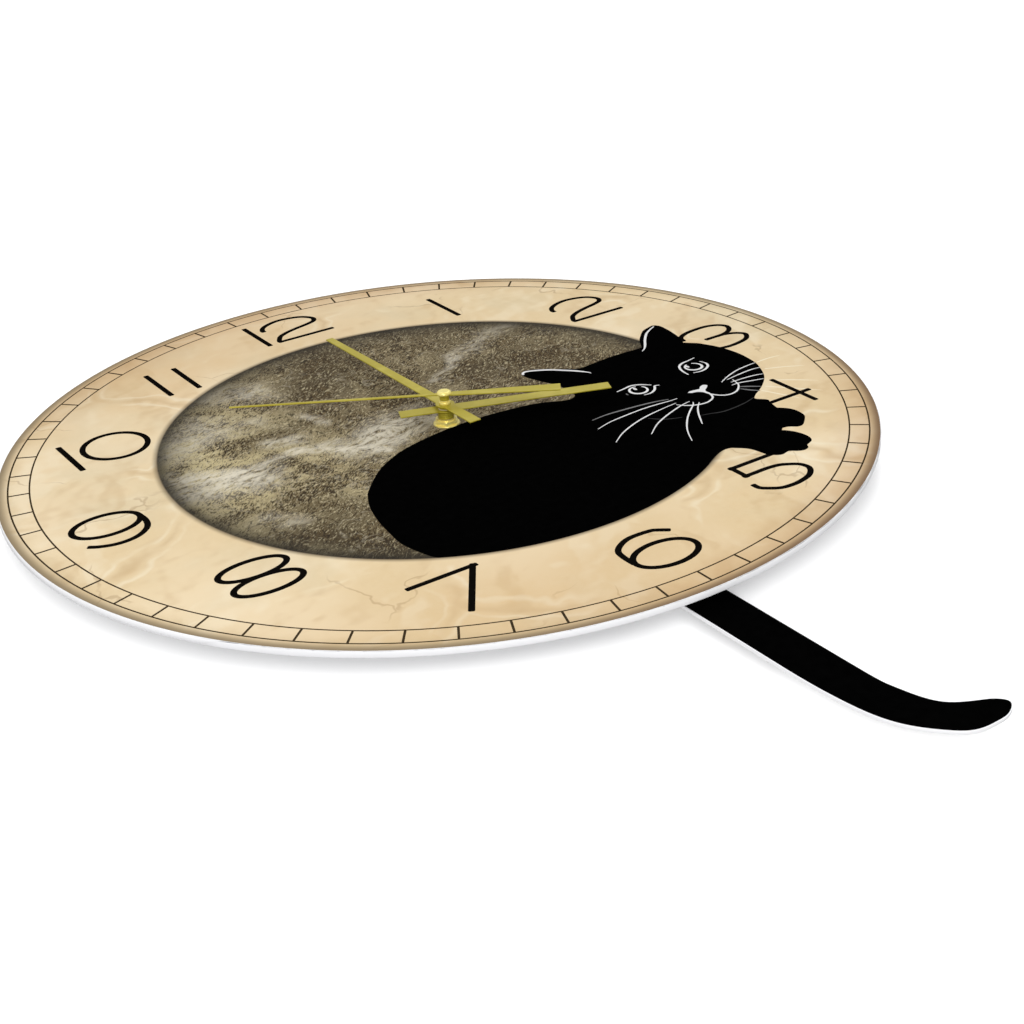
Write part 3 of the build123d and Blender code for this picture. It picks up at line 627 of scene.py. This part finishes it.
def finish_cad_nodes():
    """Gives every CAD node its finish, and a fine broken edge to those that show."""
    slots = {part["node"]: part["material_slot"] for part in frame["record"]["subparts"]}
    for node, piece in frame["nodes"].items():
        piece.data.materials.clear()
        piece.data.materials.append(FINISHES[slots[node]])
    for node, width in EDGES.items():
        piece = frame["nodes"][node]
        weld = piece.modifiers.new("weld", "WELD")
        weld.merge_threshold = WELD_GAP * MM
        bevel = piece.modifiers.new("bevel", "BEVEL")
        bevel.width = width * MM
        bevel.segments = 2
        bevel.limit_method = "ANGLE"
        bevel.angle_limit = math.radians(40)
        bevel.harden_normals = True


# ---------------------------------------------------------------- the printed dial
def dial_print(material):
    """The printed sheet, from under the washer to just inside the board's broken edge."""
    outer, inner = DIAL_RADIUS - 0.3, 4.3
    film = Film("dial_print", 0.0, thickness=PRINT_FILM)
    film.strip(arc(0, 0, outer, outer, steps=ROUND_STEPS)[:-1],
               arc(0, 0, inner, inner, steps=ROUND_STEPS)[:-1], closed=True)
    return film.finish(material, "movement")


def minute_track(material):
    ring_width, tick_width = 0.55, 0.75
    film = Film("minute_track", PRINT_FILM)
    for radius in (TRACK_OUTER, TRACK_INNER):
        film.ring(0, 0, radius, radius, ring_width, steps=ROUND_STEPS)
    for minute in range(60):
        angle = math.radians(6 * minute)
        across, up = math.sin(angle), math.cos(angle)
        tick = [(radius * across, radius * up) for radius in (TRACK_INNER, TRACK_OUTER)]
        film.stroke(tick, tick_width)
    return film.finish(material, "movement")


# the figure 2, from its own lower left corner
TWO = smooth([(0.8, 15.3), (0.8, 17), (2.3, 19.6), (5.5, 21.8), (9.5, 23.1), (13, 23.2), (17.5, 22.1),
              (20.5, 20.3), (22.5, 17.5), (22.7, 15.3), (21.3, 13.2), (17.5, 11.7), (12.5, 10.4),
              (7.5, 8.7), (3.7, 6.5), (1.7, 3.7), (0.9, 1.9), (0.9, 1.0)])
TWO_FOOT = [(0.3, 1.0), (23.9, 1.0)]
NUMERAL_STROKE = 2.05


def numerals(material):
    film = Film("numerals", PRINT_FILM)

    def line(*points):
        film.stroke(list(points), NUMERAL_STROKE)

    def curve(*points):
        film.stroke(smooth(points), NUMERAL_STROKE)

    def two(x, y):
        film.stroke(moved(TWO, x, y), NUMERAL_STROKE)
        line(*moved(TWO_FOOT, x, y))

    # 12, 1 and 2
    line((-13.5, 109.7), (-13.5, 133.8))
    two(-9.5, 109.9)
    line((59.7, 88.7), (59.7, 113.2))
    two(89.8, 50.2)
    # 3
    curve((109.4, 5.2), (110.5, 8.5), (114, 10.7), (119, 11.7), (125, 11.7), (129.5, 10),
          (131.7, 7), (131, 4.2), (128.7, 2), (125, 0.8), (120.5, 0.7), (116.6, 0.7))
    curve((122, 0.6), (125, 0.5), (129, -1), (131.7, -3.8), (131.3, -6), (129, -8.5), (125, -9.8),
          (120, -10.4), (115.5, -9.8), (112, -8.5))
    # 4
    line((109.5, -45.8), (109.5, -69.9))
    line((90, -61.3), (114, -61.3))
    # 5
    line((50.2, -93.4), (70, -93.4))
    line((51.2, -92.5), (51.2, -101.5))
    curve((50.2, -100.6), (55, -100.6), (60, -100.6), (64.5, -101.3), (67.5, -103), (70, -105.2),
          (70.8, -107.5), (70.6, -109.5), (69, -111.7), (66, -113.7), (61, -114.9), (57, -114.9),
          (54, -114.2), (51, -112), (49, -109.8), (48.8, -106.8))
    # 6
    curve((9.8, -113.8), (7, -111.5), (5, -110.4), (0, -109.9), (-4, -110.3), (-8, -112.3),
          (-10.5, -115), (-11.2, -119), (-11.2, -124))
    film.ring(0, -124.5, 11.0, 7.2, NUMERAL_STROKE)
    # 7
    line((-70.3, -93.4), (-46.6, -93.4))
    line((-47.4, -92.6), (-62.3, -115.8))
    # 8
    film.ring(-99, -52.4, 10.9, 5.3, NUMERAL_STROKE)
    film.ring(-99, -63.3, 10.9, 5.3, NUMERAL_STROKE)
    # 9
    film.ring(-121.8, 4.2, 10.9, 7.3, NUMERAL_STROKE)
    curve((-110.9, 4), (-110.7, 0), (-111.5, -4), (-113.5, -7), (-117, -9.4), (-121, -10.3),
          (-125, -10), (-129, -8.4), (-131.7, -6.5))
    # 10 and 11
    line((-112.4, 48.3), (-112.4, 71.8))
    film.ring(-96.5, 60.2, 10.9, 10.9, NUMERAL_STROKE)
    line((-63.4, 89), (-63.4, 113.3))
    line((-52.4, 89), (-52.4, 113.3))
    return film.finish(material, "movement")


# ---------------------------------------------------------------- the printed cat
CAT_HEIGHT = PRINT_FILM + INK_FILM + 0.01
CAT_LINES = CAT_HEIGHT + INK_FILM + 0.005


def cat_outline():
    """From the rump over the back and the head to the paws. The marble's edge closes the outline."""
    back = [(-54.5, -80.5), (-56, -75), (-57, -70), (-57.2, -66), (-56.6, -60), (-55.2, -50),
            (-52.6, -40), (-49.5, -33), (-47, -29), (-39, -20), (-33, -15), (-24.5, -10),
            (-15, -6.9), (-5, -4.9), (5, -3.9), (15, -3.9), (25, -5.1), (33, -6.8), (38, -9),
            (41.5, -11), (44.5, -11.6), (47.3, -10.3), (48.2, -7.5), (48.4, -3), (48.2, 2),
            (46.8, 6), (45.3, 10.5), (43.9, 15), (43.7, 17.5), (44.5, 19.8), (46.3, 21), (50, 20.3),
            (53, 18.3), (58, 13.8), (62, 10.2)]
    crown = [(65, 9.6), (70, 10.2), (80, 11.2), (90, 10.8), (93.5, 11)]
    right_ear = [(97, 17), (100, 20.5), (104, 24.3), (107.5, 25.8), (110.5, 26.5), (112.3, 24.5),
                 (112.3, 20), (111.5, 14), (110.3, 9), (108.3, 4.2)]
    cheek = [(110, 2.2), (112, 0), (113.5, -3), (115, -6.5), (116.2, -11), (116.9, -16), (117, -21),
             (116.3, -27), (115.3, -31), (113.8, -34.5), (111.5, -39), (109, -42.5), (105.5, -46),
             (101, -49.5), (96.5, -52.3), (94.2, -54.3)]
    chest = [(94.2, -55.5), (96.7, -58.7), (95.8, -61), (94.5, -66)]
    upper_paw = [(97, -69), (98, -72), (97.9, -75), (97.2, -77.5), (95.5, -79.5), (92.8, -82),
                 (91, -83), (89.3, -82.8), (87.5, -81.3), (86, -80.5), (84.5, -80.4), (83.3, -81.5)]
    lower_paw = [(84.8, -83.3), (86.1, -86), (86.8, -89.5), (86.4, -92.5), (85, -94.5), (82, -95.8),
                 (80.8, -97.6), (78.5, -98.3), (76.3, -97.3), (74, -95.5), (71, -96.1), (69, -95.2),
                 (67, -92.8), (66.4, -90), (65.8, -87), (64.7, -84.7), (62.5, -82.3), (61, -81),
                 (58.5, -80.7), (55.5, -81.6), (51, -83.8), (47, -86.4)]
    line = chain(back, crown, right_ear, cheek, chest, upper_paw, lower_paw)
    start = math.degrees(math.atan2(line[-1][1], line[-1][0]))
    end = math.degrees(math.atan2(line[0][1], line[0][0]))
    return line + arc(0, 0, MARBLE_RADIUS, MARBLE_RADIUS, start, end)[1:-1]


def cat_shape(material):
    film = Film("cat_shape", CAT_HEIGHT)
    film.shape(cat_outline())
    return film.finish(material, "movement")


def cat_features(material):
    """The white outlines of the ears, the muzzle, the nose and the whiskers."""
    film = Film("cat_features", CAT_LINES)
    film.stroke(smooth([(44.2, 18.6), (45.3, 20.1), (47, 20.3), (50.5, 18.7), (54.5, 15.8),
                        (58.3, 11.8), (61.2, 8.3), (62.9, 5.8), (63.9, 4), (64, 3)]),
                1.15, tips=(0.8, 0.2))
    film.stroke(smooth([(110.2, 25.3), (106.5, 23.3), (103, 20.7), (99, 16.2), (96, 12.2), (93.5, 9.3),
                        (91.2, 7.6)]), 0.95, tips=(0.5, 0.3))
    film.shape(smooth([(79.3, -35.2), (80.5, -34.6), (83.5, -35), (84.5, -35.2), (86, -33.8),
                       (87.8, -33.2), (88.8, -34.4), (87.5, -35.8), (85.7, -37.2), (85, -38.6),
                       (85.2, -40.5), (84.2, -40.5), (83.8, -38.5), (82.5, -36.9), (80.3, -36.2)]))
    film.stroke(smooth([(84.7, -40.5), (84.2, -42.8), (82.8, -44.8), (79.5, -46.3), (76, -46),
                        (73, -44.5), (71, -42.7), (69.7, -40.8)]), 0.75, tips=(1, 0.5))
    film.stroke(smooth([(84.8, -41.5), (86, -43.8), (88, -45.6), (90.5, -46.2), (93.5, -45.4),
                        (96, -43.4), (98, -40.7), (99, -36.5)]), 0.75, tips=(1, 0.5))
    for whisker in (
        [(36.7, -39.3), (43, -37.3), (50, -36.4), (58, -35.8), (64, -36), (70, -36.6), (73.3, -36.6)],
        [(35, -52), (41, -47.6), (48, -44.2), (55, -41.9), (63, -40.4), (70.5, -39.5)],
        [(48, -54.7), (54, -49.8), (60, -46.5), (66, -44), (71, -42.3), (75, -41.5)],
        [(55, -68), (59, -60.5), (64, -54), (69, -49), (74, -44.8), (75.5, -42.9)],
        [(66.3, -59.5), (68, -56.5), (71, -51.5), (74, -47.5), (77, -44.5)],
        [(94.5, -35.7), (99.5, -33), (106, -30.7), (112, -29.8), (115.5, -29.6)],
        [(97.5, -35.2), (104, -34.2), (110, -33.7), (114, -34.2)],
        [(97, -38), (103, -38.1), (108, -38.8), (110.8, -39.7)],
        [(95.5, -40.3), (99, -40.4), (105, -42.3), (108, -43.2)],
    ):
        film.stroke(smooth(whisker), 0.62, tips=(0.5, 0.5))
    return film.finish(material, "movement")


def cat_eyes(material):
    film = Film("cat_eyes", CAT_LINES)
    film.stroke(arc(67.6, -21.3, 3.3, 3.3, 72, 392), 1.05, tips=(0.5, 0.5))
    film.shape(arc(67.2, -19.7, 0.6, 1.1, steps=20)[:-1])
    film.stroke(smooth([(60.8, -17.5), (64, -17), (67.8, -16.4), (70.3, -17.3), (72.3, -19),
                        (73.8, -20.7)]), 0.85, tips=(0.6, 0.5))
    film.stroke(smooth([(66.4, -26.3), (69, -26.5), (71.5, -25.4), (73.2, -23.7), (74.3, -22.2),
                        (76, -22.7)]), 0.9, tips=(0.4, 0.4))
    film.stroke(arc(96.1, -17.3, 3.2, 3.2, 105, 425), 1.05, tips=(0.5, 0.5))
    film.shape(arc(94.4, -15.8, 0.6, 1.1, steps=20)[:-1])
    film.stroke(smooth([(90, -22), (90.2, -19), (91, -16), (92.5, -13.5), (95, -12), (98, -11.5),
                        (101.8, -10.7)]), 0.9, tips=(0.6, 0.4))
    film.stroke(smooth([(92.3, -22), (95.5, -22.6), (98.5, -21.8), (100.8, -20), (101.7, -17.5),
                        (101, -14.8)]), 0.9, tips=(0.4, 0.4))
    return film.finish(material, "movement")


def faint_lines(material):
    """The greyer lines: two whiskers on each side, the eye's corner, and the chin."""
    film = Film("cat_faint_lines", CAT_LINES)
    for points, width in (
        ([(39.5, -32), (46, -31.4), (53, -31.9), (60, -32.7), (66, -33.8), (70.5, -35.2)], 0.8),
        ([(96.5, -43), (99.5, -45.3), (102.5, -48)], 0.8),
        ([(95.7, -44.8), (97.5, -47.8), (99.8, -50.8)], 0.8),
        ([(62.3, -21), (62.1, -21.8), (62.2, -22.5)], 0.6),
    ):
        film.stroke(smooth(points), width, tips=(0.4, 0.5))
    return film.finish(material, "movement")


def chin_lines(material):
    film = Film("cat_chin_lines", CAT_LINES)
    film.stroke(smooth([(70.5, -53.7), (74, -54.8), (78, -56.2), (83, -56.3), (89, -55.5), (94, -54)]),
                0.6, tips=(0.4, 0.4))
    film.stroke(smooth([(55, -43.5), (59, -48), (64.5, -50.7)]), 0.5, tips=(0.4, 0.4))
    return film.finish(material, "movement")


def outer_whiskers(material):
    """The whiskers' ends, paler than the parchment that they cross."""
    film = Film("outer_whiskers", PRINT_FILM)
    for points in (
        [(116.5, -29.6), (122, -29.4), (127.6, -30.2)],
        [(114.5, -36.5), (121, -39.6), (127.6, -43.8)],
        [(109, -46), (115, -50.8), (121.8, -57.5)],
        [(104, -49), (110, -56.4), (116.9, -65.3)],
        [(100.5, -51), (103.2, -57.6), (106.2, -65.3)],
    ):
        film.stroke(smooth(points), 0.7, tips=(1.0, 0.15))
    return film.finish(material, "movement")


def tail_print(material):
    """The black film on the tail's front, a hair smaller than the board under it."""
    margin, flatness = 0.35 * MM, 0.01 * MM
    film = Film("tail_print", 0.0, TAIL_FACE)
    mesh = film.mesh
    mesh.from_mesh(frame["nodes"]["tail_board"].data)
    bmesh.ops.remove_doubles(mesh, verts=mesh.verts[:], dist=WELD_GAP * MM)
    others = [f for f in mesh.faces if max(abs(v.co.y - TAIL_FACE) for v in f.verts) > flatness]
    bmesh.ops.delete(mesh, geom=others, context="FACES")
    inset = bmesh.ops.inset_region(mesh, faces=mesh.faces[:], thickness=margin, use_boundary=True)
    bmesh.ops.delete(mesh, geom=inset["faces"], context="FACES")
    return film.finish(material, "pendulum")


def artwork():
    black = ink("black_ink", (1, 1, 1), (5, 5, 5))
    white = ink("white_ink", (244, 244, 244), (214, 214, 214))
    grey = ink("grey_ink", (150, 150, 150), (96, 96, 96))
    faint = ink("faint_ink", (70, 70, 70), (38, 38, 38))
    pale = ink("pale_ink", (250, 240, 214), (240, 224, 190))
    dial_print(dial_print_material())
    minute_track(ink("track_ink", (44, 36, 26), (78, 66, 48)))
    numerals(ink("numeral_ink", (8, 7, 6), (18, 16, 14)))
    cat_shape(black)
    cat_features(white)
    cat_eyes(white)
    faint_lines(grey)
    chin_lines(faint)
    outer_whiskers(pale)
    tail_print(ink("tail_ink", (1, 1, 1), (6, 6, 6)))


# ---------------------------------------------------------------- wall, lights and camera
WALL_SIZE, WALL_GAP = 8.0, 0.0005

# the camera's place in the dial's view, mm, and its turn in degrees
CAMERA_AT = (-267.6, -480.3, 242.3)
CAMERA_TURN = (154.309, 37.113, 2.467)

# the light from all round: its level, how much it gains along each axis, and the grey that the
# camera sees. It is brightest in front of the clock, a little brighter below and dimmer behind it.
ROUND_LIGHT = 0.70
ROUND_LEAN = (0, -0.25, -0.06)
ROUND_SEEN = (0.93, 0.93, 0.93, 1)

# each lamp's name, place, target, size in metres and power in watts, and whether it lights the wall
# alone. wall_light stands beside the camera, a little further out, and clears the wall of all but a
# narrow shadow along the dial. wall_top keeps the far wall white.
MIDDLE = (0, 0, -0.05)
LAMPS = (
    ("key", (-0.6, -1.0, -0.55), MIDDLE, 0.6, 2.9, False),
    ("low", (-0.45, -0.40, -0.78), MIDDLE, 0.3, 2.2, False),
    ("wall_light", at(CAMERA_AT[0], CAMERA_AT[1], 306), MIDDLE, 0.13, 2.6, True),
    ("wall_top", at(650, 850, 850), at(500, 650), 0.5, 6.0, True),
    ("fill", (0.7, -1.2, 0.8), MIDDLE, 0.9, 2.5, False),
    ("rear", (-0.5, 1.1, 0.6), MIDDLE, 0.7, 3, False),
)


def wall():
    """A white wall behind the clock. It shows only from its front, so the clock's back can be seen."""
    bpy.ops.mesh.primitive_plane_add(size=WALL_SIZE, location=(0, cad_box[1].y + WALL_GAP, 0),
                                     rotation=(math.radians(90), 0, 0))
    plane = bpy.context.object
    plane.name = "wall"
    material = bpy.data.materials.new("wall")
    material.use_nodes = True
    tree = material.node_tree
    tree.nodes.clear()
    output = tree.nodes.new("ShaderNodeOutputMaterial")
    either = tree.nodes.new("ShaderNodeMixShader")
    side = tree.nodes.new("ShaderNodeNewGeometry")
    paint = tree.nodes.new("ShaderNodeBsdfDiffuse")
    clear = tree.nodes.new("ShaderNodeBsdfTransparent")
    paint.inputs["Color"].default_value = (0.95, 0.95, 0.95, 1)
    tree.links.new(side.outputs["Backfacing"], either.inputs["Fac"])
    tree.links.new(paint.outputs["BSDF"], either.inputs[1])
    tree.links.new(clear.outputs["BSDF"], either.inputs[2])
    tree.links.new(either.outputs["Shader"], output.inputs["Surface"])
    plane.data.materials.append(material)
    plane.visible_shadow = False
    plane.visible_diffuse = False
    plane.visible_glossy = False
    plane.visible_transmission = False
    return plane


def lamp(name, spot, target, size, power, only=None):
    """A square lamp aimed at a point. It lights one object alone if only names it."""
    data = bpy.data.lights.new(name, "AREA")
    data.size = size
    data.energy = power
    made = bpy.data.objects.new(name, data)
    made.location = spot
    made.rotation_euler = (Vector(target) - Vector(spot)).to_track_quat("-Z", "Y").to_euler()
    made.visible_camera = False
    bpy.context.scene.collection.objects.link(made)
    if only:
        lit = bpy.data.collections.new(name + "_lit")
        lit.objects.link(only)
        made.light_linking.receiver_collection = lit


def studio(backdrop):
    scene = bpy.context.scene
    scene.view_settings.view_transform = "Standard"
    world = bpy.data.worlds.new("studio")
    scene.world = world
    world.use_nodes = True
    tree = world.node_tree
    tree.nodes.clear()
    output = tree.nodes.new("ShaderNodeOutputWorld")
    light = tree.nodes.new("ShaderNodeBackground")
    seen = tree.nodes.new("ShaderNodeBackground")
    either = tree.nodes.new("ShaderNodeMixShader")
    rays = tree.nodes.new("ShaderNodeLightPath")
    where = tree.nodes.new("ShaderNodeTexCoord")
    facing = tree.nodes.new("ShaderNodeVectorMath")
    facing.operation = "DOT_PRODUCT"
    facing.inputs[1].default_value = ROUND_LEAN
    lift = tree.nodes.new("ShaderNodeMath")
    lift.inputs[1].default_value = ROUND_LIGHT
    tree.links.new(where.outputs["Generated"], facing.inputs[0])
    tree.links.new(facing.outputs["Value"], lift.inputs[0])
    tree.links.new(lift.outputs[0], light.inputs["Strength"])
    seen.inputs["Color"].default_value = ROUND_SEEN
    tree.links.new(rays.outputs["Is Camera Ray"], either.inputs["Fac"])
    tree.links.new(light.outputs[0], either.inputs[1])
    tree.links.new(seen.outputs[0], either.inputs[2])
    tree.links.new(either.outputs[0], output.inputs["Surface"])
    for name, spot, target, size, power, wall_only in LAMPS:
        lamp(name, spot, target, size, power, backdrop if wall_only else None)


def camera():
    """Below and to the left of the dial, close in, looking up across it."""
    data = bpy.data.cameras.new("camera")
    data.sensor_width = 36
    data.lens = 60.17
    data.shift_x = -0.1278
    made = bpy.data.objects.new("camera", data)
    made.location = at(*CAMERA_AT)
    made.rotation_euler = Euler([math.radians(angle) for angle in CAMERA_TURN])
    bpy.context.scene.collection.objects.link(made)
    bpy.context.scene.camera = made


camera()
finish_cad_nodes()
artwork()
studio(wall())
